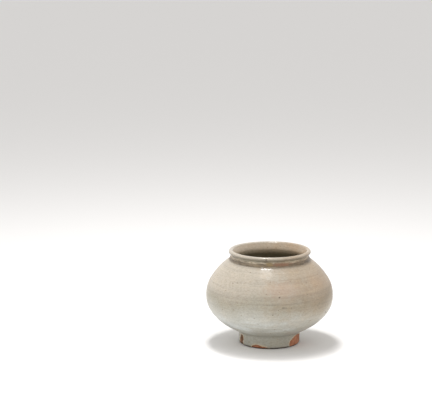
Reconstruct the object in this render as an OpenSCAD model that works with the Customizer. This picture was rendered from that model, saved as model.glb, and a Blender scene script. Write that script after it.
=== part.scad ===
// Squat wheel-thrown porcelain jar: a flared mouth with a rolled lip over a short
// leaning neck, a wide round belly and a turned foot ring, under a thin glaze.
// The wall is a chain of tangent arcs. Every face of the clay and of the glaze
// is the same chain at its own depth below the glazed outside, turned about Z.
// The jar stands on z = 0, and lengths are in millimetres.

/* [Belly] */
// Widest diameter, over the glaze
belly_d = 140; // [128:1:156]
// Radius of the tight curve just above the widest line
upper_curve_r = 36; // [28:0.5:40]
// Degrees that the tight upper curve turns before the shoulder takes over
upper_turn = 33.5; // [26:0.5:38]
// Slope of the shoulder where it meets the neck, in degrees from upright
shoulder_tilt = 54.5; // [50:0.5:60]
// Radius of the tight curve just below the widest line
lower_curve_r = 32.5; // [26:0.5:38]
// Degrees that the tight lower curve turns before the underside takes over
lower_turn = 43.5; // [34:0.5:50]
// Slope of the underside where it meets the foot, in degrees from upright
underside_tilt = 69; // [62:1:74]

/* [Wall] */
// Thickness of the clay wall
wall_t = 4; // [3:0.1:5]
// Thickness of the clay floor at its middle
floor_t = 5.6; // [4:0.1:8]

/* [Foot] */
// Diameter at the top of the foot, over the glaze
foot_d = 67.6; // [60:0.2:76]
// Height of the straight part of the foot
foot_h = 12.4; // [9:0.1:18]
// How much further in the foot stands at the table than at its top
foot_taper = 0.3; // [0:0.05:1]
// Radius of the hollow between the foot and the underside
foot_fillet_r = 2.3; // [1:0.1:4]
// Width of the foot ring at the table
ring_w = 5.5; // [4.5:0.1:7]
// Bevel on both edges of the resting face
ring_bevel = 1.2; // [0.5:0.05:1.6]
// How much the well narrows from the table to the floor
well_taper = 1.1; // [0.5:0.1:3]

/* [Neck] */
// Outside diameter at the base of the neck, over the glaze
neck_base_d = 89.6; // [86:0.2:92]
// How far the neck leans in from its base to its top, in the groove under the lip
neck_lean = 3.1; // [1.8:0.1:4.3]
// Height of the neck from its base to the groove
neck_h = 6; // [5:0.1:7.5]
// Radius of the hollow between the shoulder and the neck
neck_fillet_r = 0.9; // [0.4:0.1:2]
// How far the passage at its narrowest stands in from the base of the neck
throat_in = 7.4; // [6.8:0.1:8.8]
// Radius of the bend inside the passage
throat_bend_r = 6; // [5:0.1:7]

/* [Lip] */
// How far the rolled lip stands out from the groove
lip_out = 3.4; // [2.5:0.1:4.2]
// How far the crest of the lip stands out from the groove
crest_out = 0.9; // [0.3:0.1:1.5]
// Height of the lip's rounding above its widest line
lip_over_h = 2.5; // [1.8:0.1:3]
// Height of the lip's rounding below its widest line
lip_under_h = 2.3; // [1.6:0.1:3]
// Radius of the rounding from the crest into the flared mouth
lip_inside_r = 2.4; // [1.6:0.1:3]

/* [Glaze] */
// Thickness of the coat of glaze
glaze_t = 0.4; // [0.25:0.05:0.6]

/* [Hidden] */
$fn = 180;

clay_color = "#b07a55";
glaze_color = "#b9b29f";
lip_color = "#a8977f";
well_color = "#a3a08f";

// Where a finger held the foot at dipping, the glaze is missing. Each mark is
// a round: its direction in degrees, then the height of its centre and its
// radius as shares of the height of the foot.
mark_shares = [[-30, 0.18, 0.75], [-158, 0.4, 0.42], [-114, -0.3, 0.58]];

// Faces along each long curve of the wall, and along each small rounding
curve_steps = 10;
bend_steps = 6;

// Depths below the glazed outside at which the faces of the wall lie
clay_face = glaze_t;
clay_back = clay_face + wall_t;
glaze_back = clay_back + glaze_t;

belly_r = belly_d / 2;
foot_r = foot_d / 2;
neck_base_r = neck_base_d / 2;
neck_top_r = neck_base_r - neck_lean;
throat_r = neck_base_r - throat_in;
crest_r = neck_top_r + crest_out;
lip_r = neck_top_r + lip_out;

// Underside: its arc leaves the lower curve and ends on the foot's fillet
lower_turn_r = belly_r - lower_curve_r * (1 - cos(lower_turn));
underside_end_r = foot_r + foot_fillet_r * (1 - cos(underside_tilt));
underside_r = (lower_turn_r - underside_end_r) / (cos(lower_turn) - cos(underside_tilt));
underside_z = foot_h + foot_fillet_r * sin(underside_tilt);
lower_turn_z = underside_z + underside_r * (sin(underside_tilt) - sin(lower_turn));
belly_z = lower_turn_z + lower_curve_r * sin(lower_turn);

// Shoulder: its arc leaves the upper curve and ends on the neck's fillet, and
// the neck leans in from there
neck_tilt = atan2(neck_lean, neck_h);
upper_turn_r = belly_r - upper_curve_r * (1 - cos(upper_turn));
upper_turn_z = belly_z + upper_curve_r * sin(upper_turn);
shoulder_end_r = neck_base_r + neck_fillet_r * (cos(neck_tilt) - cos(shoulder_tilt));
shoulder_r = (upper_turn_r - shoulder_end_r) / (cos(upper_turn) - cos(shoulder_tilt));
shoulder_z = upper_turn_z + shoulder_r * (sin(shoulder_tilt) - sin(upper_turn));
neck_base_z = shoulder_z + neck_fillet_r * (sin(shoulder_tilt) - sin(neck_tilt));

lip_under_z = neck_base_z + neck_h;
lip_z = lip_under_z + lip_under_h;
crest_z = lip_z + lip_over_h;

// Centres of the arcs, as [radius, height]
foot_fillet_c = [foot_r + foot_fillet_r, foot_h];
lower_curve_c = [belly_r - lower_curve_r, belly_z];
underside_c = lower_curve_c + (underside_r - lower_curve_r) * [-cos(lower_turn), sin(lower_turn)];
upper_curve_c = [belly_r - upper_curve_r, belly_z];
shoulder_c = upper_curve_c - (shoulder_r - upper_curve_r) * [cos(upper_turn), sin(upper_turn)];
neck_fillet_c = [neck_base_r, neck_base_z] + neck_fillet_r * [cos(neck_tilt), sin(neck_tilt)];
lip_inside_c = [crest_r, crest_z - lip_inside_r];

// The inside of the bowl closes on the axis with an arc tangent to the underside
bowl_r = underside_r + underside_c[0] / cos(underside_tilt);
bowl_c = [0, underside_c[1] + underside_c[0] * tan(underside_tilt)];

// The bend in the throat rolls on the inside of the shoulder
vault_r = shoulder_r - glaze_back;
bend_c_r = throat_r + throat_bend_r;
bend_tilt = acos((bend_c_r - shoulder_c[0]) / (vault_r + throat_bend_r));
bend_c = [bend_c_r, shoulder_c[1] + (vault_r + throat_bend_r) * sin(bend_tilt)];

// The mouth flares along the straight line that touches both the bend and the
// rounding inside the lip. Its slope is in degrees from upright.
flare_run = lip_inside_c - bend_c;
flare_tilt = acos((lip_inside_r - throat_bend_r) / norm(flare_run)) - atan2(flare_run[1], flare_run[0]);

// Foot ring and well
foot_base_r = foot_r - foot_taper;
ring_in_r = foot_base_r - clay_face - ring_w;
well_r = ring_in_r - well_taper;
floor_top_z = bowl_c[1] - bowl_r + clay_back;
well_z = floor_top_z - floor_t;
plug_tilt = asin(well_r / (bowl_r - clay_back));

// Points of an arc or an oval about c, without its first point
function oval(c, rx, rz, from, to, steps) =
    [for (i = [1:steps]) let (a = from + (to - from) * i / steps) c + [rx * cos(a), rz * sin(a)]];
function arc(c, r, from, to, steps) = oval(c, r, r, from, to, steps);
function reverse(line) = [for (i = [len(line) - 1:-1:0]) line[i]];

// Outside of the wall at a depth, from the top of the foot up to the belly
function outer_lower(depth) = concat(
    [[foot_r - depth, foot_h]],
    arc(foot_fillet_c, foot_fillet_r + depth, 180, 180 - underside_tilt, bend_steps),
    arc(underside_c, underside_r - depth, -underside_tilt, -lower_turn, curve_steps),
    arc(lower_curve_c, lower_curve_r - depth, -lower_turn, 0, curve_steps));

// Outside of the wall at a depth, from the belly up to the base of the neck
function outer_upper(depth) = concat(
    [[belly_r - depth, belly_z]],
    arc(upper_curve_c, upper_curve_r - depth, 0, upper_turn, curve_steps),
    arc(shoulder_c, shoulder_r - depth, upper_turn, shoulder_tilt, curve_steps),
    arc(neck_fillet_c, neck_fillet_r + depth, 180 + shoulder_tilt, 180 + neck_tilt, bend_steps));

// Base and top of the neck at a depth
function neck_base(depth) = [neck_base_r, neck_base_z] - depth * [cos(neck_tilt), sin(neck_tilt)];
function neck_top(depth) = [neck_top_r - depth / cos(neck_tilt), lip_under_z];

// Lip at a depth, from the groove below it, over the crest, into the flare
function lip_line(depth) = concat(
    [[neck_top_r, lip_under_z + depth]],
    oval([neck_top_r, lip_z], lip_out - depth, lip_under_h - depth, -90, 0, bend_steps),
    oval([crest_r, lip_z], lip_r - crest_r - depth, lip_over_h - depth, 0, 90, bend_steps),
    arc(lip_inside_c, lip_inside_r - depth, 90, 180 - flare_tilt, bend_steps));

// Inside of the mouth at a depth below its glaze: the top of the flare, then its
// foot and the bend as far as the narrowest line
function flare_top(depth) =
    lip_inside_c + (lip_inside_r - depth) * [-cos(flare_tilt), sin(flare_tilt)];
function flare_foot(depth) =
    bend_c + (throat_bend_r - depth) * [-cos(flare_tilt), sin(flare_tilt)];
function mouth_bend(depth) = concat(
    [flare_foot(depth)],
    arc(bend_c, throat_bend_r - depth, 180 - flare_tilt, 180, bend_steps));

// Inside of the wall at a depth, from the narrowest line down to the belly
function inner_upper(depth) =
    let (bend = throat_bend_r - (glaze_back - depth))
    concat(
        [[bend_c[0] - bend, bend_c[1]]],
        arc(bend_c, bend, 180, 180 + bend_tilt, bend_steps),
        arc(shoulder_c, shoulder_r - depth, bend_tilt, upper_turn, curve_steps),
        arc(upper_curve_c, upper_curve_r - depth, upper_turn, 0, curve_steps));

// Inside of the wall at a depth, from the belly down to a direction of the bowl's arc
function inner_lower(depth, last_tilt) = concat(
    [[belly_r - depth, belly_z]],
    arc(lower_curve_c, lower_curve_r - depth, 0, -lower_turn, curve_steps),
    arc(underside_c, underside_r - depth, -lower_turn, -underside_tilt, curve_steps),
    arc(bowl_c, bowl_r - depth, -underside_tilt, last_tilt - 90, bend_steps));

module turned(outline) {
    rotate_extrude() polygon(outline);
}

// Rods that pass out through the glaze of the foot at the finger marks
module finger_marks() {
    for (mark = mark_shares)
        rotate([0, 90, mark[0]]) translate([-foot_h * mark[1], 0, foot_r / 2])
            cylinder(r = foot_h * mark[2], h = foot_r);
}

module foot_ring() {
    color(clay_color) turned([
        [ring_in_r + ring_bevel, 0],
        [foot_base_r - clay_face - ring_bevel, 0],
        [foot_base_r - clay_face, ring_bevel],
        [foot_r - clay_face, foot_h],
        [well_r, foot_h],
        [well_r, well_z],
        [ring_in_r, ring_bevel]]);
}

module floor_disc() {
    color(clay_color) turned(concat(
        [[0, well_z], [well_r, well_z]],
        [bowl_c + (bowl_r - clay_back) * [sin(plug_tilt), -cos(plug_tilt)]],
        arc(bowl_c, bowl_r - clay_back, plug_tilt - 90, -90, curve_steps)));
}

module lower_wall() {
    color(clay_color) turned(concat(
        outer_lower(clay_face),
        inner_lower(clay_back, plug_tilt),
        [[well_r, foot_h]]));
}

module shoulder_wall() {
    color(clay_color) turned(concat(
        outer_upper(clay_face),
        inner_upper(clay_back)));
}

module neck() {
    color(clay_color) turned(concat(
        mouth_bend(glaze_t),
        [neck_base(clay_face), neck_top(clay_face)]));
}

module rolled_lip() {
    color(clay_color) turned(concat(
        [flare_foot(glaze_t), neck_top(clay_face)],
        lip_line(clay_face)));
}

module foot_glaze() {
    color(glaze_color) difference() {
        turned([
            [foot_base_r - clay_face, ring_bevel],
            [foot_base_r, ring_bevel],
            [foot_r, foot_h],
            [foot_r - clay_face, foot_h]]);
        finger_marks();
    }
}

module outer_glaze() {
    color(glaze_color) turned(concat(
        outer_lower(0),
        [for (p = outer_upper(0)) if (p[1] > belly_z) p],
        [neck_top(0), neck_top(clay_face)],
        reverse(outer_upper(clay_face)),
        [for (p = reverse(outer_lower(clay_face))) if (p[1] < belly_z) p]));
}

module lip_glaze() {
    color(lip_color) turned(concat(
        lip_line(0),
        reverse(lip_line(clay_face)),
        [neck_top(clay_face)]));
}

module inner_glaze() {
    color(lip_color) turned(concat(
        [flare_top(0)],
        mouth_bend(0),
        [for (p = inner_upper(glaze_back)) if (p[1] < bend_c[1]) p],
        [for (p = inner_lower(glaze_back, 0)) if (p[1] < belly_z) p],
        reverse(inner_lower(clay_back, 0)),
        [for (p = reverse(inner_upper(clay_back))) if (p[1] > belly_z) p],
        [for (p = reverse(mouth_bend(glaze_t))) if (p[1] > bend_c[1]) p],
        [flare_top(glaze_t)]));
}

module well_glaze() {
    color(well_color) turned([
        [ring_in_r, ring_bevel],
        [well_r, well_z],
        [0, well_z],
        [0, well_z - glaze_t],
        [well_r - glaze_t, well_z - glaze_t],
        [ring_in_r - glaze_t, ring_bevel]]);
}

foot_ring();
floor_disc();
lower_wall();
shoulder_wall();
neck();
rolled_lip();
foot_glaze();
outer_glaze();
lip_glaze();
inner_glaze();
well_glaze();
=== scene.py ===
# A squat wheel-thrown porcelain jar on a white studio floor, built up as a potter and a glazer
# would: the turned foot, the clay wall, the coats of glaze with their bare finger marks, and
# last the floor, the lights and the camera. Lengths are in metres. The jar stands on z = 0
# with its axis on Z, and -Y faces the viewer.
import math

import bpy
import numpy as np
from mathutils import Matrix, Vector, noise


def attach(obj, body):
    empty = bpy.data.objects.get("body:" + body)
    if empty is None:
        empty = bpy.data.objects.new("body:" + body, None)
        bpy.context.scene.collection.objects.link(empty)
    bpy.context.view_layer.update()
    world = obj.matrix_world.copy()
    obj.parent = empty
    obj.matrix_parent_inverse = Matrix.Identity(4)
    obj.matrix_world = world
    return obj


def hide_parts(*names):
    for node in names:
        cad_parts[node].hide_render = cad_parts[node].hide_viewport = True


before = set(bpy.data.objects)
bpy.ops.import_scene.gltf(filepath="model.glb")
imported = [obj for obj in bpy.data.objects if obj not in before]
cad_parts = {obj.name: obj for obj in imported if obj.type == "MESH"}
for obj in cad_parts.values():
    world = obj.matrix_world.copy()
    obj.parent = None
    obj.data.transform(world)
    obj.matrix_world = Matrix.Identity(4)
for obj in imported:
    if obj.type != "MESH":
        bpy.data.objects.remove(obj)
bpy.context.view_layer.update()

# ---------------------------------------------------------------------------------------------
# Foot ring. White porcelain clay that burns orange brown where the fire reaches it bare. It was
# left thick at throwing and turned with an iron tool on the wheel once the pot was firm, so it
# carries fine tool lines. It shows at the finger marks and on the resting face.
# ---------------------------------------------------------------------------------------------
glaze_t = 0.0004
foot_r = 0.0338
foot_h = 0.0124
foot_taper = 0.0003
ring_w = 0.0055
ring_bevel = 0.0012
well_taper = 0.0011
well_z = 0.006809
foot_base_r = foot_r - foot_taper
ring_in_r = foot_base_r - glaze_t - ring_w
well_r = ring_in_r - well_taper

# Points nearer to each other than the weld are one, and a hair is less than any real step
weld = 0.000002
hair = 0.00001

# Where a finger held the foot when the pot was dipped: the way it faces (degrees to the right
# of the viewer), the height of its middle, half its width and half its height. Ovals that
# overlap run into one mark: one at the right, one at the left and one low in front.
finger_marks = [
    (57, 0.0038, 0.0098, 0.0062),
    (63, 0.0080, 0.0070, 0.0040),
    (77, 0.0058, 0.0080, 0.0052),
    (-65, 0.0082, 0.0031, 0.0036),
    (-70, 0.0040, 0.0030, 0.0042),
    (-65, 0.0006, 0.0028, 0.0028),
    (-26, 0.0002, 0.0060, 0.0038),
    (-15, -0.0008, 0.0052, 0.0030),
    (-8, -0.0014, 0.0034, 0.0028),
]


def straight(a, b, pitch):
    """Points from a to b about a pitch apart, without the first."""
    steps = max(1, round(math.dist(a, b) / pitch))
    return [(a[0] + (b[0] - a[0]) * i / steps, a[1] + (b[1] - a[1]) * i / steps)
            for i in range(1, steps + 1)]


def joined(corners, pitches):
    """A line through the corners, with its points a pitch apart on each stretch."""
    line = [corners[0]]
    for a, b, pitch in zip(corners, corners[1:], pitches):
        line += straight(a, b, pitch)
    return line


def turn_on_wheel(name, section, slices):
    """Draws a section to the right of the axis, point by point, and turns it once round it."""
    bpy.ops.object.select_all(action="DESELECT")
    bpy.ops.mesh.primitive_plane_add(size=glaze_t, location=(section[0][0], 0, section[0][1]))
    piece = bpy.context.object
    piece.name = name
    bpy.ops.object.mode_set(mode="EDIT")
    bpy.ops.mesh.select_mode(type="VERT")
    bpy.ops.mesh.select_all(action="SELECT")
    bpy.ops.mesh.merge(type="CENTER")
    for a, b in zip(section, section[1:]):
        bpy.ops.mesh.extrude_region_move(
            TRANSFORM_OT_translate={"value": (b[0] - a[0], 0, b[1] - a[1])})
    bpy.ops.mesh.select_all(action="SELECT")
    bpy.ops.mesh.remove_doubles(threshold=weld)
    bpy.ops.object.mode_set(mode="OBJECT")
    bpy.ops.object.transform_apply(location=True, rotation=True, scale=True)
    bpy.ops.object.modifier_add(type="SCREW")
    wheel = piece.modifiers["Screw"]
    wheel.axis = "Z"
    wheel.steps = wheel.render_steps = slices
    wheel.use_merge_vertices = True
    wheel.merge_threshold = weld
    bpy.ops.object.modifier_apply(modifier="Screw")
    bpy.ops.object.mode_set(mode="EDIT")
    bpy.ops.mesh.select_all(action="SELECT")
    bpy.ops.mesh.remove_doubles(threshold=weld)
    bpy.ops.mesh.delete_loose(use_verts=True, use_edges=True, use_faces=False)
    bpy.ops.mesh.select_all(action="SELECT")
    bpy.ops.mesh.normals_make_consistent(inside=False)
    bpy.ops.object.mode_set(mode="OBJECT")
    return piece


def read_points(piece):
    points = np.empty(len(piece.data.vertices) * 3, np.float32)
    piece.data.vertices.foreach_get("co", points)
    return points.reshape(-1, 3).astype(float)


def write_points(piece, points):
    piece.data.vertices.foreach_set("co", points.astype(np.float32).ravel())
    piece.data.update()


def round_axis(points):
    """How far each point is from the axis, and its turn round it."""
    return np.hypot(points[:, 0], points[:, 1]), np.arctan2(points[:, 1], points[:, 0])


def ease(values, length):
    """From 0 at nothing up to 1 at the length and beyond."""
    return np.clip(values / length, 0, 1)


def wave(at, length, shift=0.0):
    """A wave between -1 and 1 that comes back after a length."""
    return np.sin(at * 2 * math.pi / length + shift)


def grain(points, size, seed=0.0):
    """Smooth noise between about -1 and 1 at each point, with features of the given size."""
    return np.array([noise.noise(Vector(p) / size + Vector((seed, 3 * seed, 7 * seed)))
                     for p in points])


def to_bare_clay(points):
    """How far each point lies outside the nearest finger mark, below nothing inside one."""
    blend, ragged_within = 0.0009, 0.004
    large, fine = 0.00055, 0.0003
    tiny, smallest = 1e-6, 1e-30
    turn = np.arctan2(points[:, 0], -points[:, 1])
    marked = np.full(len(points), smallest)
    for facing, height, half_w, half_h in finger_marks:
        across = np.angle(np.exp(1j * (turn - math.radians(facing)))) * foot_r / half_w
        up = (points[:, 2] - height) / half_h
        reach = np.hypot(across, up) + tiny
        slope = np.hypot(across / half_w, up / half_h) / reach
        marked += np.exp(np.clip((1 - reach) / slope / blend, -60, 20))
    away = -blend * np.log(marked)
    near = away < ragged_within
    away[near] += large * grain(points[near], size=0.0026)
    away[near] += fine * grain(points[near], size=0.0009, seed=2)
    return away


def keep_edge(piece, away, reach):
    """Stores on the piece how near each point is to the edge of the glaze, from 1 down to 0."""
    mark = piece.data.attributes.new("glaze_edge", "FLOAT", "POINT")
    mark.data.foreach_set("value", (1 - ease(np.abs(away), reach)).astype(np.float32))


def smooth_to(piece, degrees):
    """Smooths the piece, with a sharp edge wherever it turns by more than some degrees."""
    bpy.ops.object.select_all(action="DESELECT")
    piece.select_set(True)
    bpy.context.view_layer.objects.active = piece
    bpy.ops.object.shade_smooth_by_angle(angle=math.radians(degrees))


def put(tree, kind, feeds, **options):
    """Adds a shader node with its options, and feeds its inputs with values or other nodes."""
    node = tree.nodes.new("ShaderNode" + kind)
    for option, value in options.items():
        setattr(node, option, value)
    for place, value in feeds.items():
        if isinstance(value, bpy.types.NodeSocket):
            tree.links.new(value, node.inputs[place])
        else:
            node.inputs[place].default_value = value
    return node


def worked_out(tree, operation, values):
    """The values taken together from left to right by one operation."""
    result = values[0]
    for value in values[1:]:
        result = put(tree, "Math", {0: result, 1: value}, operation=operation).outputs[0]
    return result


def total(tree, *values):
    return worked_out(tree, "ADD", values)


def product(tree, *values):
    return worked_out(tree, "MULTIPLY", values)


def greatest(tree, *values):
    return worked_out(tree, "MAXIMUM", values)


def span(tree, value, start, end, low=0.0, high=1.0):
    """Low up to start, high from end on, and a soft change between."""
    feeds = {"Value": value, "From Min": start, "From Max": end, "To Min": low, "To Max": high}
    return put(tree, "MapRange", feeds, interpolation_type="SMOOTHSTEP").outputs["Result"]


def ramp(tree, value, stops):
    """A colour for each value, by stops of value and colour."""
    first, last = stops[0][0], stops[-1][0]
    place = put(tree, "MapRange", {"Value": value, "From Min": first, "From Max": last})
    node = put(tree, "ValToRGB", {"Fac": place.outputs["Result"]})
    line = node.color_ramp
    for at, colour in stops[1:-1]:
        line.elements.new((at - first) / (last - first))
    for spot, (at, colour) in zip(line.elements, stops):
        spot.position = (at - first) / (last - first)
        spot.color = (*colour, 1)
    return node.outputs["Color"]


def mixed(tree, amount, a, b, way="MIX"):
    """Colour a with an amount of colour b over it."""
    feeds = {0: amount, 6: a if isinstance(a, bpy.types.NodeSocket) else (*a, 1),
             7: b if isinstance(b, bpy.types.NodeSocket) else (*b, 1)}
    mix = put(tree, "Mix", feeds, data_type="RGBA", blend_type=way, clamp_factor=True)
    return mix.outputs[2]


def toned(tree, colour, tone, amount=1.0):
    """The colour made lighter or darker by a tone, as far as the amount says."""
    return mixed(tree, amount, colour, tone, "MULTIPLY")


def clouds(tree, place, size, detail=3.0, roughness=0.5):
    """Noise with features of the given size."""
    feeds = {"Vector": place, "Scale": 1 / size, "Detail": detail, "Roughness": roughness}
    return put(tree, "TexNoise", feeds).outputs["Fac"]


def streaks(tree, place, across, upward, detail, roughness=0.5, start=0.0):
    """Noise drawn out round the jar: how many features a metre it has across and upward."""
    feeds = {"Vector": place, "Location": (0, 0, start), "Scale": (across, across, upward)}
    drawn_out = put(tree, "Mapping", feeds).outputs[0]
    return clouds(tree, drawn_out, 1.0, detail, roughness)


def bare_clay_finish():
    """Toasted clay with sand and tool lines, painted darker on its left side as shade."""
    left_shade_brown = (0.085, 0.045, 0.020)
    toasted = (0.16, 0.06, 0.028)
    dark_edge_and_contact_shade = (0.018, 0.013, 0.009)
    sand_colour = (0.16, 0.08, 0.05)
    pale_colour = (0.62, 0.42, 0.28)
    clay = bpy.data.materials.new("bare_clay")
    clay.use_nodes = True
    tree = clay.node_tree
    shader = tree.nodes["Principled BSDF"]
    place = put(tree, "TexCoord", {}).outputs["Object"]
    side, _, height = put(tree, "SeparateXYZ", {0: place}).outputs
    edge = put(tree, "Attribute", {}, attribute_name="glaze_edge").outputs["Fac"]
    burn = clouds(tree, place, 0.006, 4, 0.6)
    colour = ramp(tree, burn, [
        (0.25, (0.22, 0.085, 0.042)), (0.5, (0.37, 0.15, 0.08)), (0.75, (0.47, 0.23, 0.135))])
    # the clay on the left is painted dark brown in patches, as painted shade
    left_shade_mask = product(tree, span(tree, side, -0.022, -0.030),
                     span(tree, burn, 0.62, 0.42, 0.5, 0.97))
    colour = mixed(tree, left_shade_mask, colour, left_shade_brown)
    # the clay is darkest next to the glaze; the bevels of the resting face are painted near
    # black, partly the clay's own dark edge, partly painted contact shadow
    colour = mixed(tree, span(tree, edge, 0.45, 1.0, 0, 0.75), colour, toasted)
    bevel_contact_shade = product(tree, span(tree, height, 0.0016, 0.0011), span(tree, height, 0.0, 0.0002))
    colour = mixed(tree, bevel_contact_shade, colour, dark_edge_and_contact_shade)
    sand = clouds(tree, place, 0.0005, 2)
    colour = mixed(tree, span(tree, sand, 0.62, 0.72), colour, sand_colour)
    pale = clouds(tree, place, 0.0009, 2)
    colour = mixed(tree, span(tree, pale, 0.6, 0.75, 0, 0.5), colour, pale_colour)
    tree.links.new(colour, shader.inputs["Base Color"])
    tree.links.new(span(tree, sand, 0.3, 0.7, 0.72, 0.95), shader.inputs["Roughness"])
    tool_lines = streaks(tree, place, 30, 1500, 2.0)
    relief = total(tree, product(tree, tool_lines, 0.6), sand)
    bump = put(tree, "Bump", {"Height": relief, "Strength": 0.7, "Distance": 0.00012})
    tree.links.new(bump.outputs[0], shader.inputs["Normal"])
    shader.inputs["Specular IOR Level"].default_value = 0.3
    return clay


clay = bare_clay_finish()
clay_r = foot_r - glaze_t
clay_base_r = foot_base_r - glaze_t
shown, hidden, bevelled = 0.0004, 0.002, 0.00025
section = joined([(ring_in_r + ring_bevel, 0), (clay_base_r - ring_bevel, 0),
                  (clay_base_r, ring_bevel), (clay_r, foot_h), (well_r, foot_h),
                  (well_r, well_z), (ring_in_r, ring_bevel), (ring_in_r + ring_bevel, 0)],
                 [shown, bevelled, shown, hidden, hidden, hidden, bevelled])
turned_foot = turn_on_wheel("turned_foot", section, slices=480)

# The turning tool left shallow lines and scratches, and use has chipped and worn the ring
tool_line_gap, tool_line_depth, scratch_depth = 0.0011, 0.00003, 0.00005
chip_depth, worn_depth = 0.00012, 0.00006
clear_of_edge = 0.0001
points = read_points(turned_foot)
radius, turn = round_axis(points)
height = points[:, 2].copy()
outside = (radius > clay_base_r - clear_of_edge) & (height < foot_h - clear_of_edge)
under = (height < ring_bevel) & (radius > ring_in_r + clear_of_edge)
resting = under & (height < hair)
away = to_bare_clay(points)
tool = 0.5 + 0.5 * wave(height, tool_line_gap, 1.2 * np.sin(3 * turn))
scratches = 0.5 + 0.5 * grain(points, 0.0012)
chips = np.clip(grain(points, 0.003, 5), 0, 1)
wear = np.where(outside, tool_line_depth * tool + scratch_depth * scratches, 0)
wear += np.where(under & (height > hair), chip_depth * chips, 0)
points[:, :2] *= (1 - wear / radius)[:, None]
points[resting, 2] += worn_depth * np.clip(grain(points[resting], 0.0016, 9), 0, 1)
write_points(turned_foot, points)
keep_edge(turned_foot, away, reach=0.0012)
smooth_to(turned_foot, degrees=40)
turned_foot.data.materials.append(clay)
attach(turned_foot, "root")
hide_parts("foot_ring")

# ---------------------------------------------------------------------------------------------
# Clay wall: floor, lower wall, shoulder, neck and rolled lip. One thrown and fired body in the
# same clay as the foot. Glaze covers it on every side, so it keeps its turned solids and gets
# the clay's finish.
# ---------------------------------------------------------------------------------------------
for stage in ("floor_disc", "lower_wall", "shoulder_wall", "neck", "rolled_lip"):
    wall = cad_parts[stage]
    wall.data.materials.clear()
    wall.data.materials.append(clay)

# ---------------------------------------------------------------------------------------------
# Glaze on the foot. The same dipped coat as on the body, thin and grey-green over the turned
# clay. It draws back with a round, cream-edged border from the places where fingers held it.
# ---------------------------------------------------------------------------------------------
# Tones of the coat, and a tint for the right side: partly the warmth that the fire gave it,
# partly painted shade that darkens it
# Near black for the lowest edge of the coat: partly its own dark edge, partly painted contact
# shadow where the foot meets the floor
coat_edge_and_contact_shade = (0.05, 0.04, 0.03)
thin_coat = (0.35, 0.34, 0.29)
thick_coat = (0.50, 0.50, 0.46)
# Grey buff for the darker band round the belly, and for the groove under the lip, where it is
# partly darker glaze, partly painted shade
grey_buff_and_shade = (0.38, 0.35, 0.28)
buff = (0.45, 0.40, 0.33)
# Dark brown for the band of the neck: partly the coat's iron brown, partly painted shade under
# the lip and in the crease at its foot
neck_iron_and_shade = (0.20, 0.16, 0.11)
# Pale for the ring just under the lip: partly a paler ridge of the coat, partly painted light
# that lifts the shade under the lip
pale_ridge_and_painted_light = (0.54, 0.47, 0.37)
fire_tint_and_shade = (0.85, 0.76, 0.67)

# Where each tone lies on the jar, by height in millimetres
coat_tones = [
    (1, coat_edge_and_contact_shade), (2.5, thin_coat), (15, thin_coat), (38, thick_coat), (57, grey_buff_and_shade),
    (70, buff), (93, buff), (94.5, neck_iron_and_shade), (97, neck_iron_and_shade), (98.5, pale_ridge_and_painted_light),
    (99.6, grey_buff_and_shade)]

# Flashes of the fire and spots of iron: the way each faces, its distance from the axis, its
# height, half its width, half its height, its strength and its colour
iron = (0.10, 0.075, 0.05)
body_spots = [
    (54, 0.0618, 0.0773, 0.015, 0.007, 0.2, (0.45, 0.29, 0.18)),
    (11, 0.0655, 0.0735, 0.017, 0.007, 0.35, (0.48, 0.34, 0.26)),
    (15, 0.0430, 0.0968, 0.0100, 0.0017, 0.75, (0.30, 0.155, 0.09)),
    (-2, 0.0429, 0.0970, 0.0034, 0.0018, 0.7, (0.31, 0.225, 0.10)),
    (7.3, 0.0678, 0.0665, 0.0009, 0.0007, 0.8, iron),
    (1.2, 0.0693, 0.0475, 0.0006, 0.0006, 0.6, iron),
    (-42.0, 0.0616, 0.0775, 0.0008, 0.0006, 0.5, iron),
    (-36.2, 0.0610, 0.0783, 0.0008, 0.0005, 0.5, iron),
    (-21.8, 0.0691, 0.0621, 0.0006, 0.0006, 0.45, iron),
    (10.7, 0.0700, 0.0553, 0.0034, 0.0007, 0.45, iron),
    (63.2, 0.0672, 0.0411, 0.0014, 0.0010, 0.85, iron),
    (66, 0.0442, 0.0952, 0.0050, 0.0013, 0.5, iron),
    (50, 0.0443, 0.0948, 0.0035, 0.0009, 0.5, iron),
    (-48, 0.0445, 0.0945, 0.0030, 0.0008, 0.5, iron),
    (-66, 0.0443, 0.0950, 0.0050, 0.0012, 0.4, iron),
]


def scattered(tree, place, per_metre, channel, rarity):
    """Dots strewn at random: the distance to the nearest, and whether that one is there."""
    cells = put(tree, "TexVoronoi", {"Vector": place, "Scale": per_metre})
    chance = put(tree, "SeparateColor", {0: cells.outputs["Color"]}).outputs[channel]
    return cells.outputs["Distance"], span(tree, chance, rarity, rarity + 0.04)


def spot_over(tree, place, colour, mottle, spot):
    """The colour with a ragged oval spot over it."""
    facing, out, up, half_w, half_h, strength, tint = spot
    turn = math.radians(facing)
    to_middle = (-out * math.sin(turn), out * math.cos(turn), -up)
    centred = put(tree, "Mapping", {"Vector": place, "Location": to_middle}).outputs[0]
    oval = {0: centred, 1: (1 / half_w, 1 / half_w, 1 / half_h)}
    oval = put(tree, "VectorMath", oval, operation="MULTIPLY").outputs[0]
    reach = put(tree, "VectorMath", {0: oval}, operation="LENGTH").outputs["Value"]
    ragged = total(tree, reach, span(tree, mottle, 0.3, 0.7, -0.5, 0.5))
    return mixed(tree, span(tree, ragged, 1.5, 0.5, 0, strength), colour, tint)


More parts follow.
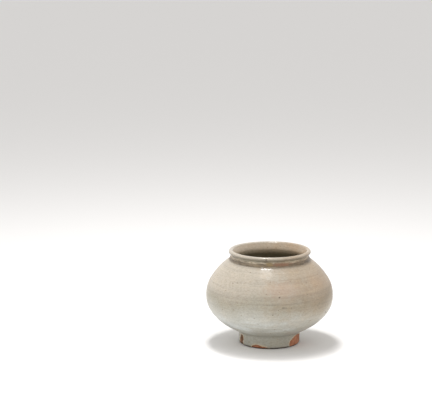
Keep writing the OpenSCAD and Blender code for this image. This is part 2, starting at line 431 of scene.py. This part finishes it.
def glaze_finish(name, tones, line_depth, shine, spots=(), neck_rings=0.0):
    """A slightly cloudy glaze, laid thinly over throwing lines, with iron specks and pinholes."""
    unchanged = (1, 1, 1)
    pale_streak = (0.60, 0.625, 0.61)
    cream_edge = (0.52, 0.42, 0.29)
    brown_edge = (0.24, 0.12, 0.055)
    halo_colour = (0.30, 0.22, 0.14)
    speck_colour = (0.13, 0.10, 0.075)
    grit_colour = (0.20, 0.17, 0.13)
    specks_per_metre, grit_per_metre = 230.0, 620.0
    coat = bpy.data.materials.new(name)
    coat.use_nodes = True
    tree = coat.node_tree
    shader = tree.nodes["Principled BSDF"]
    place = put(tree, "TexCoord", {}).outputs["Object"]
    x, _, z = put(tree, "SeparateXYZ", {0: place}).outputs
    edge = put(tree, "Attribute", {}, attribute_name="glaze_edge").outputs["Fac"]
    drift = clouds(tree, place, 0.030, 4, 0.55)
    cloud = clouds(tree, place, 0.011, 5, 0.6)
    # the bands of colour wander up and down, but not on the foot and the neck
    height = product(tree, z, 1000.0)
    height = total(tree, height, product(
        tree, span(tree, drift, 0.3, 0.7, -4.0, 4.0), span(tree, height, 92.5, 86.0),
        span(tree, height, 14.0, 22.0)))
    # on the neck they break up
    on_neck = span(tree, height, 93.8, 94.3, 0, neck_rings)
    broken = streaks(tree, place, 130, 600, 3.0, 0.65)
    height = total(tree, height, product(
        tree, on_neck, span(tree, broken, 0.3, 0.7, -0.6, 0.9)))
    side = total(tree, x, span(tree, cloud, 0.25, 0.75, -0.016, 0.016))
    side = span(tree, side, -0.022, 0.052)
    # the right side is warmed and darkened, most of all from the belly up: partly the fire's
    # tint, partly painted shade
    fired_and_shaded = product(tree, side, span(tree, height, 25.0, 55.0, 0.4, 1.0))
    colour = toned(tree, ramp(tree, height, tones), fire_tint_and_shade, fired_and_shaded)
    # the far right of the belly is painted darker, as shade along the jar's edge
    right_edge_shade = product(tree, span(tree, x, 0.044, 0.062), span(tree, height, 46.0, 58.0))
    colour = toned(tree, colour, (0.90, 0.88, 0.86), right_edge_shade)
    # thicker and thinner clouds of glaze
    colour = toned(tree, colour, ramp(tree, cloud, [
        (0.25, (0.93, 0.94, 0.94)), (0.5, unchanged), (0.75, (1.06, 1.04, 1.01))]))
    # the lines left by throwing and turning, where the glaze lies thicker in the hollows
    coarse = streaks(tree, place, 9, 520, 3.0, 0.6)
    fine = streaks(tree, place, 35, 1700, 2.0)
    colour = toned(tree, colour, ramp(tree, coarse, [
        (0.3, (0.91, 0.91, 0.905)), (0.5, unchanged), (0.7, (1.05, 1.045, 1.03))]))
    colour = toned(tree, colour, ramp(tree, fine, [
        (0.3, (0.92, 0.915, 0.905)), (0.55, unchanged), (0.7, (1.05, 1.05, 1.04))]))
    # the rings of the neck, with dark iron in their hollows
    collar = streaks(tree, place, 90, 950, 3.0, 0.6)
    colour = toned(tree, colour, ramp(tree, collar, [
        (0.30, (0.45, 0.40, 0.34)), (0.5, (1, 0.98, 0.95)), (0.68, (1.4, 1.38, 1.33))]), on_neck)
    # pale bluish streaks low on the cool side, where the coat ran thick
    brushed = streaks(tree, place, 16, 170, 4.0, 0.6, start=0.35)
    low = product(tree, span(tree, height, 17.0, 23.0), span(tree, height, 42.0, 32.0),
                  span(tree, side, 0.7, 0.1), span(tree, brushed, 0.48, 0.62, 0, 0.7))
    colour = mixed(tree, low, colour, pale_streak)
    # low on the far left the coat is painted darker, as shade
    far_left_shade = product(tree, span(tree, x, -0.034, -0.048), span(tree, height, 38.0, 28.0))
    colour = toned(tree, colour, (0.75, 0.75, 0.75), far_left_shade)
    # fine mottling of the body through the coat
    squeezed = put(tree, "Mapping", {"Vector": place, "Scale": (0.55, 0.55, 1)}).outputs[0]
    mottle = clouds(tree, squeezed, 0.0013, 4, 0.65)
    colour = toned(tree, colour, ramp(tree, mottle, [
        (0.3, (0.84, 0.82, 0.79)), (0.5, unchanged), (0.7, (1.12, 1.12, 1.12))]))
    # iron specks that bleed a little into the glaze, and finer grit
    to_speck, speck_there = scattered(tree, place, specks_per_metre, 0, 0.62)
    speck = product(tree, span(tree, to_speck, 0.13, 0.06), speck_there)
    halo = product(tree, span(tree, to_speck, 0.30, 0.05, 0, 0.35), speck_there)
    colour = mixed(tree, halo, colour, halo_colour)
    colour = mixed(tree, product(tree, speck, 0.75), colour, speck_colour)
    to_grit, grit_there = scattered(tree, place, grit_per_metre, 1, 0.66)
    grit = product(tree, span(tree, to_grit, 0.22, 0.10), grit_there)
    colour = mixed(tree, product(tree, grit, 0.45), colour, grit_colour)
    for spot in spots:
        colour = spot_over(tree, place, colour, mottle, spot)
    # the coat thins and turns cream, then brown, towards its edge at a finger mark
    patches = span(tree, clouds(tree, place, 0.003, 3), 0.35, 0.6, 0.25, 0.9)
    cream = product(tree, span(tree, edge, 0.1, 0.55), patches)
    colour = mixed(tree, cream, colour, cream_edge)
    colour = mixed(tree, span(tree, edge, 0.78, 1.0, 0, 0.85), colour, brown_edge)
    tree.links.new(colour, shader.inputs["Base Color"])
    dull = total(tree, span(tree, cloud, 0.3, 0.7, 0.54, 0.66),
                 span(tree, mottle, 0.3, 0.7, -0.04, 0.05), product(tree, speck, 0.25))
    tree.links.new(dull, shader.inputs["Roughness"])
    # the top of the shoulder was wiped smooth with a finger
    lines = total(tree, product(tree, coarse, line_depth), product(tree, fine, line_depth * 0.35))
    wiped = greatest(tree, span(tree, height, 78, 89, 1.0, 0.15), on_neck)
    peel = clouds(tree, place, 0.0007, 2)
    pits = product(tree, span(tree, to_grit, 0.16, 0.06), grit_there)
    relief = total(tree, product(tree, lines, wiped), product(tree, peel, 0.05),
                   product(tree, pits, -0.25))
    bump = put(tree, "Bump", {"Height": relief, "Strength": 1.0, "Distance": 0.0001})
    tree.links.new(bump.outputs[0], shader.inputs["Normal"])
    shader.inputs["Specular IOR Level"].default_value = 0.3
    shader.inputs["Coat Weight"].default_value = shine
    shader.inputs["Coat Roughness"].default_value = 0.12
    return coat


outside_glaze = glaze_finish("outside_glaze", coat_tones, line_depth=0.9, shine=0.4,
                             spots=body_spots, neck_rings=1.0)

# The coat is turned as a single skin first, and the faces over the finger marks are cut out
skin = joined([(foot_base_r, ring_bevel), (foot_r, foot_h)], pitches=[0.00034])
glazed_foot = turn_on_wheel("glazed_foot", skin, slices=640)
away = to_bare_clay(read_points(glazed_foot))
bpy.ops.object.mode_set(mode="EDIT")
bpy.ops.mesh.select_all(action="DESELECT")
bpy.ops.object.mode_set(mode="OBJECT")
corners = np.empty(len(glazed_foot.data.polygons) * 4, np.int32)
glazed_foot.data.polygons.foreach_get("vertices", corners)
bare = (away[corners.reshape(-1, 4)] < 0).all(axis=1)
glazed_foot.data.polygons.foreach_set("select", bare)
bpy.ops.object.mode_set(mode="EDIT")
bpy.ops.mesh.select_mode(type="FACE")
bpy.ops.mesh.delete(type="FACE")
bpy.ops.mesh.delete_loose(use_verts=True, use_edges=True, use_faces=False)
bpy.ops.mesh.select_mode(type="VERT")
bpy.ops.object.mode_set(mode="OBJECT")

# The cut edge is drawn out, a little at a time, to the smooth line of the mark
step, furthest, draws, least_steep = 0.00005, 0.0003, 3, 0.05
points = read_points(glazed_foot)
for _ in range(draws):
    away = to_bare_clay(points)
    cut = away < 0
    radius, turn = round_axis(points[cut])
    sideways = np.stack([-np.sin(turn), np.cos(turn), 0 * turn], axis=1)
    slope_side = (to_bare_clay(points[cut] + step * sideways) - away[cut]) / step
    slope_up = (to_bare_clay(points[cut] + np.array([0, 0, step])) - away[cut]) / step
    steep = slope_side ** 2 + slope_up ** 2 + least_steep
    push = np.clip(-away[cut] / steep, 0, furthest)
    turn = turn + push * slope_side / foot_r
    points[cut, 0], points[cut, 1] = radius * np.cos(turn), radius * np.sin(turn)
    points[cut, 2] = np.clip(points[cut, 2] + push * slope_up, ring_bevel, foot_h)

# The skin gets its thickness, which runs out in a round edge at a mark
thinnest, edge_w = 0.12, 0.0009
lump_h, dimple_h = 0.00005, 0.00002
away = np.maximum(to_bare_clay(points), 0)
thick = thinnest + (1 - thinnest) * ease(away, edge_w) ** 0.5
radius, turn = round_axis(points)
fade = ease(foot_h - points[:, 2], 0.002) * ease(points[:, 2] - ring_bevel, 0.001)
lumps = lump_h * grain(points, 0.004, 4) + dimple_h * grain(points, 0.0015, 6)
swell = -glaze_t * (1 - thick) + fade * lumps
points[:, :2] *= (1 + swell / radius)[:, None]
write_points(glazed_foot, points)
keep_edge(glazed_foot, away, reach=0.0024)
weights = glazed_foot.vertex_groups.new(name="thickness_of_coat")
for number, weight in enumerate(thick):
    weights.add([number], float(weight), "REPLACE")
bpy.ops.object.modifier_add(type="SOLIDIFY")
coat = glazed_foot.modifiers["Solidify"]
coat.thickness = glaze_t
coat.offset = -1
coat.vertex_group = "thickness_of_coat"
bpy.ops.object.modifier_apply(modifier="Solidify")
smooth_to(glazed_foot, degrees=50)
glazed_foot.data.materials.append(outside_glaze)
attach(glazed_foot, "root")
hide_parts("foot_glaze")

# ---------------------------------------------------------------------------------------------
# Glaze on the body and neck. The coat over the thrown wall, dipped in one go: grey-green and
# bluish below, buff to warm tan above, over the fine rings that fingers and tool left. It is
# fused to the clay and breaks off only at the groove under the lip.
# ---------------------------------------------------------------------------------------------
wall_t = 0.004
belly_r = 0.070
belly_z = 0.054157
upper_curve_r = 0.036
upper_turn = 33.5
shoulder_r = 0.074819
shoulder_tilt = 54.5
lower_curve_r = 0.0325
lower_turn = 43.5
underside_r = 0.070296
underside_tilt = 69
foot_fillet_r = 0.0023
neck_base_r = 0.0448
neck_base_z = 0.093962
neck_top_r = 0.0417
neck_h = 0.006
neck_fillet_r = 0.0009
neck_tilt = math.degrees(math.atan2(neck_base_r - neck_top_r, neck_h))
hidden_pitch = 0.003


def along(centre, length, degrees):
    """The point at a length from a centre, in a direction in degrees above the level."""
    return (centre[0] + length * math.cos(math.radians(degrees)),
            centre[1] + length * math.sin(math.radians(degrees)))


def sweep(centre, radius, start, end, pitch):
    """Points of an arc about a pitch apart, between two directions, without the first."""
    steps = max(2, round(radius * math.radians(abs(end - start)) / pitch))
    return [along(centre, radius, start + (end - start) * i / steps)
            for i in range(1, steps + 1)]


foot_fillet_c = (foot_r + foot_fillet_r, foot_h)
lower_curve_c = (belly_r - lower_curve_r, belly_z)
underside_c = along(lower_curve_c, underside_r - lower_curve_r, 180 - lower_turn)
upper_curve_c = (belly_r - upper_curve_r, belly_z)
shoulder_c = along(upper_curve_c, shoulder_r - upper_curve_r, 180 + upper_turn)
neck_fillet_c = along((neck_base_r, neck_base_z), neck_fillet_r, neck_tilt)


def neck_top(depth):
    """The top of the neck at a depth below the glaze."""
    return (neck_top_r - depth / math.cos(math.radians(neck_tilt)), neck_base_z + neck_h)


def body_line(depth, pitch):
    """The outside of the wall at a depth below the glaze, from the foot up to the lip."""
    line = [(foot_r - depth, foot_h)]
    line += sweep(foot_fillet_c, foot_fillet_r + depth, 180, 180 - underside_tilt, pitch)
    line += sweep(underside_c, underside_r - depth, -underside_tilt, -lower_turn, pitch)
    line += sweep(lower_curve_c, lower_curve_r - depth, -lower_turn, 0, pitch)
    line += sweep(upper_curve_c, upper_curve_r - depth, 0, upper_turn, pitch)
    line += sweep(shoulder_c, shoulder_r - depth, upper_turn, shoulder_tilt, pitch)
    line += sweep(neck_fillet_c, neck_fillet_r + depth,
                  180 + shoulder_tilt, 180 + neck_tilt, pitch / 2)
    return line + straight(line[-1], neck_top(depth), pitch)


def ripple(piece, line, height_of):
    """Moves the points on a line out from it, by a height at each length and turn."""
    within = 0.00012
    points = read_points(piece)
    line = np.array(sorted(line, key=lambda p: p[1]))
    length = np.concatenate([[0], np.cumsum(np.hypot(*np.diff(line, axis=0).T))])
    run = np.gradient(line, length, axis=0)
    radius, turn = round_axis(points)
    at = np.interp(points[:, 2], line[:, 1], length)
    on_line = np.abs(radius - np.interp(points[:, 2], line[:, 1], line[:, 0])) < within
    on_line &= (points[:, 2] > line[0, 1] - hair) & (points[:, 2] < line[-1, 1] + hair)
    move = np.where(on_line, height_of(at, turn, length[-1]), 0)
    out = np.interp(at, length, run[:, 1])
    up = -np.interp(at, length, run[:, 0])
    points[:, :2] *= (1 + move * out / np.maximum(radius, weld))[:, None]
    points[:, 2] += move * up
    write_points(piece, points)


def throwing_rings(at, turn, whole):
    """Heights of the rings that throwing and turning left on the outside."""
    sway = 0.7 * np.sin(turn + 0.4) + 0.4 * np.sin(2 * turn + 2.1) + 0.3 * np.sin(5 * turn + 1.0)
    rings = (0.000016 * wave(at, 0.0031, sway + 1.5 * np.sin(at / 0.017))
             + 0.000010 * wave(at, 0.0019, 2.0 - 1.4 * sway)
             + 0.000030 * wave(at, 0.0078, sway + turn)
             + 0.000060 * wave(at, 0.0230, 0.5 * sway + 1.0))
    # they were wiped flat below the neck, which has sharper rings of its own
    wiped_from, wiped_over, collar_from = 0.015, 0.012, 0.0062
    rings *= np.maximum(ease(whole - wiped_from - at, wiped_over), 0.04)
    rings += ease(at - whole + collar_from, 0.0008) * 0.00009 * wave(at, 0.0021, 0.5 * sway)
    lumps = 0.00006 * np.sin(2 * turn + 0.6) + 0.00004 * np.sin(3 * turn + at / 0.02)
    return ease(at, 0.004) * ease(whole - at, 0.0015) * (rings + lumps)


line = body_line(0, pitch=0.00052)
section = line + body_line(glaze_t, pitch=hidden_pitch)[::-1]
section.append(section[0])
glazed_body = turn_on_wheel("glazed_body", section, slices=360)
ripple(glazed_body, line, throwing_rings)
smooth_to(glazed_body, degrees=50)
glazed_body.data.materials.append(outside_glaze)
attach(glazed_body, "root")
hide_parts("outer_glaze")

# ---------------------------------------------------------------------------------------------
# Glaze on the lip. The rim was folded out and pressed round between finger and thumb, and the
# glaze ran thin over its crest, so the clay warms it to a pinkish brown there.
# ---------------------------------------------------------------------------------------------
lip_r = 0.0451
lip_z = 0.102262
crest_r = 0.0426
crest_z = 0.104762
lip_under_h = 0.0023
lip_over_h = 0.0025
lip_inside_r = 0.0024
lip_inside_c = (crest_r, crest_z - lip_inside_r)
flare_tilt = 28.254
shaded_lip = (0.25, 0.22, 0.17)
lip_tones = [(100, shaded_lip), (102, shaded_lip), (103.5, buff), (104.7, buff)]
rim_spots = [(-6.5, 0.0450, 0.1019, 0.0011, 0.0009, 0.9, iron)]


def oval(centre, rx, rz, start, end, steps):
    """Points of an oval between two directions in degrees, without the first."""
    turn = [math.radians(start + (end - start) * i / steps) for i in range(1, steps + 1)]
    return [(centre[0] + rx * math.cos(a), centre[1] + rz * math.sin(a)) for a in turn]


def lip_line(depth, steps):
    """The lip at a depth below the glaze, from the groove over the crest into the throat."""
    line = [(neck_top_r, lip_z - lip_under_h + depth)]
    line += oval((neck_top_r, lip_z), lip_r - neck_top_r - depth, lip_under_h - depth,
                 -90, 0, steps)
    line += oval((crest_r, lip_z), lip_r - crest_r - depth, lip_over_h - depth, 0, 90, steps)
    inner_r = lip_inside_r - depth
    return line + oval(lip_inside_c, inner_r, inner_r, 90, 180 - flare_tilt, steps)


section = lip_line(0, steps=16) + lip_line(glaze_t, steps=6)[::-1]
section += [neck_top(glaze_t), (neck_top_r, lip_z - lip_under_h)]
glazed_lip = turn_on_wheel("glazed_lip", section, slices=360)

# The crest was pressed by hand, so it dips a little all round and waves up and down
crest_dip, crest_sway, crest_wave = 0.0001, 0.00006, 0.00004
points = read_points(glazed_lip)
radius, turn = round_axis(points)
lift = -crest_dip + crest_sway * np.sin(2 * turn + 0.8) + crest_wave * np.sin(5 * turn + 2)
points[:, 2] += ease(points[:, 2] - lip_z, lip_over_h) * lift
write_points(glazed_lip, points)
smooth_to(glazed_lip, degrees=50)
rim_glaze = glaze_finish("rim_glaze", lip_tones, line_depth=0.4, shine=0.68,
                         spots=rim_spots)
glazed_lip.data.materials.append(rim_glaze)
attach(glazed_lip, "root")
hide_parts("lip_glaze")

# ---------------------------------------------------------------------------------------------
# Glaze on the inside. Poured in, swirled and tipped out, over the spiral ridge that the
# fingers pulled up from the floor to the neck. Tan at the throat, and olive where it pooled.
# ---------------------------------------------------------------------------------------------
throat_r = 0.0374
throat_bend_r = 0.006
throat_bend_z = 0.096246
inside = 2 * glaze_t + wall_t
bend_c = (throat_r + throat_bend_r, throat_bend_z)
bend_tilt = math.degrees(math.acos(
    (bend_c[0] - shoulder_c[0]) / (shoulder_r - inside + throat_bend_r)))
bowl_c = (0, 0.106444)
bowl_r = 0.098434
olive_pool = (0.32, 0.32, 0.25)
throat_shade = (0.32, 0.26, 0.18)
throat_tan = (0.45, 0.37, 0.28)
inside_tones = [(0, olive_pool), (60, olive_pool), (90, throat_shade), (102, throat_tan)]


def inside_line(depth, pitch):
    """The inside of the wall at a depth below the outer glaze, from the lip to the floor."""
    bend = throat_bend_r - (inside - depth)
    line = [along(lip_inside_c, lip_inside_r - (inside - depth), 180 - flare_tilt)]
    line += straight(line[0], along(bend_c, bend, 180 - flare_tilt), pitch)
    line += sweep(bend_c, bend, 180 - flare_tilt, 180 + bend_tilt, pitch)
    line += sweep(shoulder_c, shoulder_r - depth, bend_tilt, upper_turn, pitch)
    line += sweep(upper_curve_c, upper_curve_r - depth, upper_turn, 0, pitch)
    line += sweep(lower_curve_c, lower_curve_r - depth, 0, -lower_turn, pitch)
    line += sweep(underside_c, underside_r - depth, -lower_turn, -underside_tilt, pitch)
    return line + sweep(bowl_c, bowl_r - depth, -underside_tilt, -90, pitch)


def pulled_ridges(at, turn, whole):
    """Depths of the spiral that the fingers left inside, from the middle of the floor on."""
    spiral = 0.00016 * wave(at, 0.0085, turn + 0.4 * np.sin(2 * turn))
    fine = 0.00002 * wave(at, 0.0024, turn + np.sin(3 * turn))
    return -(ease(at, 0.006) * ease(whole - at, 0.030) * spiral + ease(whole - at, 0.002) * fine)


line = inside_line(inside, pitch=0.0007)
section = line + inside_line(inside - glaze_t, pitch=hidden_pitch)[::-1]
section.append(section[0])
glazed_inside = turn_on_wheel("glazed_inside", section, slices=320)
ripple(glazed_inside, line, pulled_ridges)
smooth_to(glazed_inside, degrees=50)
inside_glaze = glaze_finish("inside_glaze", inside_tones, line_depth=0.8, shine=0.5)
glazed_inside.data.materials.append(inside_glaze)
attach(glazed_inside, "root")
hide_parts("inner_glaze")

# ---------------------------------------------------------------------------------------------
# Glaze in the foot well. The hollow under the floor was glazed with the rest of the dip, so a
# thin grey coat lies over the turning rings and fills the corner at the wall of the foot.
# ---------------------------------------------------------------------------------------------
corner_fill = 0.0014
fill_c = (well_r - glaze_t - corner_fill, well_z - glaze_t - corner_fill)
well_tones = [(0, thin_coat), (7, buff)]
section = joined([(ring_in_r, ring_bevel), (ring_in_r - glaze_t, ring_bevel),
                  (well_r - glaze_t - clear_of_edge, fill_c[1])], pitches=[0.001, 0.0004])
section += sweep(fill_c, corner_fill, 0, 90, pitch=0.0002)
section += straight(section[-1], (0, well_z - glaze_t), pitch=0.0004)
section += [(0, well_z)] + straight((0, well_z), (well_r, well_z), pitch=0.004)
section += [(ring_in_r, ring_bevel)]
glazed_well = turn_on_wheel("glazed_well", section, slices=300)

# The turning rings lie on the ceiling of the well and fade out at its middle
points = read_points(glazed_well)
radius, turn = round_axis(points)
below = well_z - points[:, 2]
ceiling = (below > glaze_t / 2) & (below < 2 * glaze_t) & (radius < well_r - corner_fill)
rings = 0.00007 * wave(radius, 0.0027, turn) + 0.00004 * wave(radius, 0.0011)
points[:, 2] += np.where(ceiling, rings * ease(radius, 0.003), 0)
write_points(glazed_well, points)
smooth_to(glazed_well, degrees=50)
well_glaze = glaze_finish("well_glaze", well_tones, line_depth=0.5, shine=0.3)
glazed_well.data.materials.append(well_glaze)
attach(glazed_well, "root")
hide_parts("well_glaze")

# ---------------------------------------------------------------------------------------------
# Floor. A wide sheet of matt white paper, laid flat on the studio's table. It is overexposed
# to white away from the jar's soft shadow.
# ---------------------------------------------------------------------------------------------
bpy.ops.object.select_all(action="DESELECT")
bpy.ops.mesh.primitive_plane_add(size=60, location=(0, 0, 0))
floor = bpy.context.object
floor.name = "studio_floor"
bpy.ops.object.mode_set(mode="EDIT")
bpy.ops.mesh.select_all(action="SELECT")
bpy.ops.mesh.subdivide(number_cuts=3)
bpy.ops.object.mode_set(mode="OBJECT")
paper = bpy.data.materials.new("white_paper")
paper.use_nodes = True
sheet = paper.node_tree.nodes["Principled BSDF"]
sheet.inputs["Base Color"].default_value = (0.90, 0.89, 0.88, 1)
sheet.inputs["Roughness"].default_value = 1
sheet.inputs["Specular IOR Level"].default_value = 0
floor.data.materials.append(paper)

# ---------------------------------------------------------------------------------------------
# Lights. A softbox a metre overhead makes the shadow. A narrow strip in front of it draws the
# bright line under the neck, a dim window above the front gives the soft glow below that line,
# and the white walls of the studio give the rest.
# ---------------------------------------------------------------------------------------------
overhead = 1.0


def panel(name, to_the_left, behind, wide, deep, brightness):
    """A panel of light, placed and sized by the angles in degrees at which the jar sees it."""
    light = bpy.data.lights.new(name, "AREA")
    light.shape = "RECTANGLE"
    light.size = 2 * overhead * math.tan(math.radians(wide / 2))
    light.size_y = 2 * overhead * math.tan(math.radians(deep / 2))
    light.energy = brightness * (math.pi * overhead) ** 2
    lamp = bpy.data.objects.new(name, light)
    bpy.context.scene.collection.objects.link(lamp)
    left, back = math.radians(to_the_left), math.radians(behind)
    lamp.location = Vector((-math.tan(left), math.tan(back), 1)).normalized() * overhead
    lamp.rotation_euler = (-back, -left, 0)


panel("softbox", to_the_left=5, behind=10, wide=8, deep=11, brightness=0.35)
panel("strip", to_the_left=3.3, behind=1.4, wide=13, deep=3.4, brightness=0.22)
panel("window", to_the_left=5, behind=-9.5, wide=15, deep=16, brightness=0.13)

# The walls are brightest low down and at both sides, and a little brighter at the left
walls = bpy.data.worlds.new("studio_walls")
bpy.context.scene.world = walls
walls.use_nodes = True
tree = walls.node_tree
way = put(tree, "TexCoord", {}).outputs["Generated"]
x, y, z = put(tree, "SeparateXYZ", {0: way}).outputs
level = total(tree, product(tree, y, -0.05), product(tree, x, -0.12), product(tree, x, x, 0.25),
              product(tree, greatest(tree, z, 0.0), -0.85), 1.25)
tree.links.new(level, tree.nodes["Background"].inputs["Strength"])
tree.nodes["Background"].inputs["Color"].default_value = (1.0, 0.99, 0.98, 1)

# ---------------------------------------------------------------------------------------------
# Camera. A long lens about two metres off, looking down by 11 degrees, with the jar right of
# the middle and low in the frame.
# ---------------------------------------------------------------------------------------------
looking_down = 10.824
lens = bpy.data.cameras.new("camera")
lens.sensor_width = 36
lens.lens = 147.8
camera = bpy.data.objects.new("camera", lens)
bpy.context.scene.collection.objects.link(camera)
camera.location = (-0.0591, -1.9074, 0.5167)
camera.rotation_euler = (math.radians(90 - looking_down), 0, 0)
bpy.context.scene.camera = camera
bpy.context.scene.view_settings.view_transform = "Standard"
